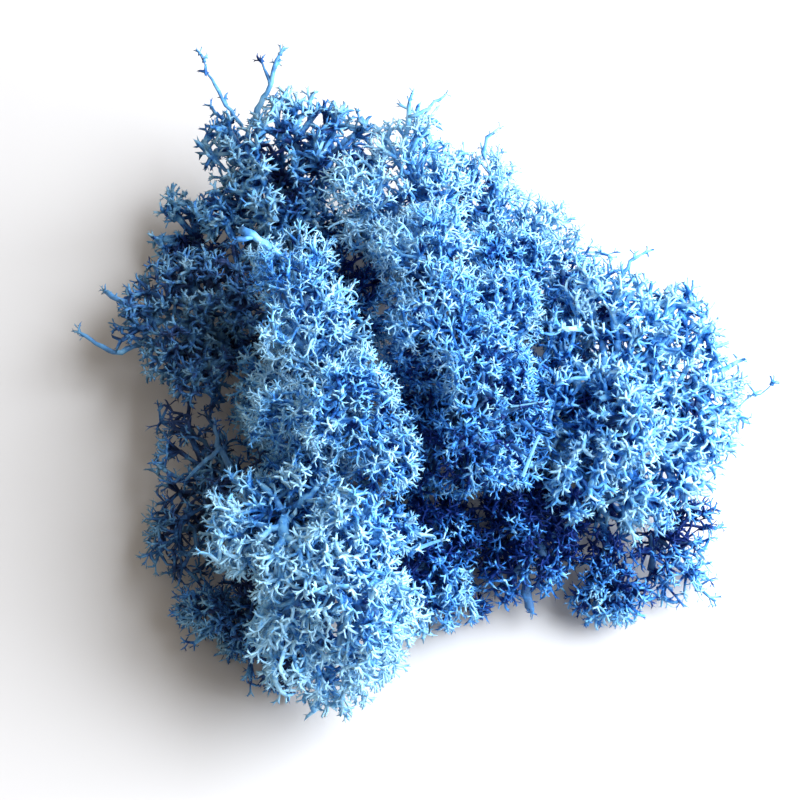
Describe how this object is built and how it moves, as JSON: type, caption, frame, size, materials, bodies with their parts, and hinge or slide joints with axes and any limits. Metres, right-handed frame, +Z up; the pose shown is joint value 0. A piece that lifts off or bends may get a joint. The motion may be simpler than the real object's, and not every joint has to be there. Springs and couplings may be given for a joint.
{
  "type": "moss clump",
  "caption": "Loose clump of blue dyed preserved reindeer moss, cushion-shaped plants with finely forked branches tangled together, resting on a surface.",
  "frame": {"origin": "middle of the footprint, at the level of the surface that the clump rests on", "axes": "+Z up; the picture looks along +Y and steeply down, so +X is to its right"},
  "size_m": [0.1138, 0.1128, 0.0471],
  "materials": {
    "sky_blue_moss": "matte, dry plant fibre",
    "azure_moss": "matte, dry plant fibre",
    "ultramarine_moss": "matte, dry plant fibre",
    "dark_blue_moss": "matte, dry plant fibre",
    "pale_stem": "matte, dry plant fibre"
  },
  "bodies": {
    "root": {"front_cushion": "sky_blue_moss", "front_left_lobe": "dark_blue_moss", "middle_cushion": "sky_blue_moss", "centre_cushion": "ultramarine_moss", "upper_cushion": "sky_blue_moss", "back_right_cushion": "sky_blue_moss", "right_cushion": "azure_moss", "right_low_lace": "azure_moss", "low_dark_cushion": "dark_blue_moss", "bottom_cushion": "azure_moss", "bottom_middle_cushion": "dark_blue_moss", "left_lace": "dark_blue_moss", "left_upper_cushion": "dark_blue_moss", "top_left_cushion": "dark_blue_moss", "left_top_sprig": "sky_blue_moss", "loose_stalk": "pale_stem", "loose_needle": "pale_stem"}
  },
  "joints": []
}
